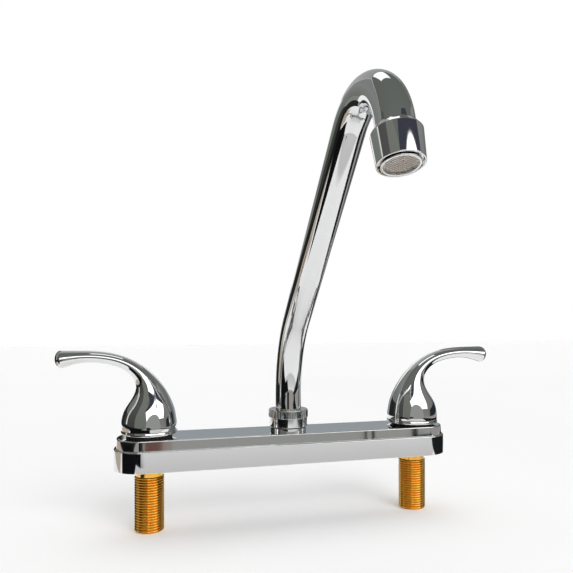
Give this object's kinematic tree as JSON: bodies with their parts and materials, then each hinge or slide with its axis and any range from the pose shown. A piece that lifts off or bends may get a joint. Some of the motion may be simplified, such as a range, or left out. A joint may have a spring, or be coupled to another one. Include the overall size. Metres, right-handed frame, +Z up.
{
  "type": "two handle kitchen faucet",
  "caption": "Two handle kitchen faucet: two-tier deck plate, outward swan-neck levers, leaning hooked tube spout with aerator, and threaded brass shanks under the plate.",
  "frame": {"origin": "middle of the deck plate's underside, where it meets the worktop", "axes": "+X from the hot side to the cold side, +Y away from the user, +Z up"},
  "size_m": [0.3285, 0.2212, 0.2724],
  "materials": {
    "chrome_plate": "bright chrome plating on the cast zinc deck plate",
    "chrome_handle": "bright chrome plating on the cast zinc handles",
    "chrome_tube": "bright chrome plating on drawn brass tube",
    "chrome_nut": "bright chrome plating on turned and knurled brass",
    "shank_brass": "machined yellow brass with a cut thread",
    "cast_brass": "cast and machined brass",
    "tube_copper": "drawn copper tube, brazed",
    "seal_rubber": "black nitrile rubber",
    "soft_gasket": "soft closed-cell rubber sheet",
    "disc_ceramic": "lapped alumina ceramic",
    "white_acetal": "moulded white acetal",
    "black_nylon": "moulded black nylon",
    "screen_steel": "stainless steel"
  },
  "bodies": {
    "deck": {"deck_plate": "chrome_plate", "base_gasket": "soft_gasket", "spout_post": "cast_brass", "post_lock_ring": "chrome_nut", "coupling_nut": "chrome_nut", "hot_valve_body": "shank_brass", "hot_cross_tube": "tube_copper", "hot_plate_nut": "black_nylon", "hot_cartridge_body": "cast_brass", "hot_cartridge_seal": "seal_rubber", "hot_cartridge_ring": "seal_rubber", "hot_fixed_disc": "disc_ceramic", "cold_valve_body": "shank_brass", "cold_cross_tube": "tube_copper", "cold_plate_nut": "black_nylon", "cold_cartridge_body": "cast_brass", "cold_cartridge_seal": "seal_rubber", "cold_cartridge_ring": "seal_rubber", "cold_fixed_disc": "disc_ceramic"},
    "spout": {"spout_tube": "chrome_tube", "spout_spigot": "cast_brass", "spout_rings": "seal_rubber", "split_ring": "white_acetal", "outlet_collar": "chrome_tube", "aerator_washer": "seal_rubber", "aerator_body": "chrome_nut", "aerator_screen": "screen_steel", "aerator_insert": "white_acetal"},
    "hot_lever": {"hot_handle": "chrome_handle", "hot_handle_screw": "screen_steel", "hot_stem": "cast_brass", "hot_stem_rings": "seal_rubber", "hot_stem_clip": "screen_steel", "hot_moving_disc": "disc_ceramic"},
    "cold_lever": {"cold_handle": "chrome_handle", "cold_handle_screw": "screen_steel", "cold_stem": "cast_brass", "cold_stem_rings": "seal_rubber", "cold_stem_clip": "screen_steel", "cold_moving_disc": "disc_ceramic"}
  },
  "joints": [
    {"name": "spout_swivel", "type": "hinge", "parent": "deck", "child": "spout", "pos_m": [0, 0, 0.033], "axis": [0, 0, 1], "continuous": true},
    {"name": "hot_turn", "type": "hinge", "parent": "deck", "child": "hot_lever", "pos_m": [-0.1016, 0, 0.033], "axis": [0, 0, 1], "range_deg": [0, 90]},
    {"name": "cold_turn", "type": "hinge", "parent": "deck", "child": "cold_lever", "pos_m": [0.1016, 0, 0.033], "axis": [0, 0, -1], "range_deg": [0, 90]}
  ]
}
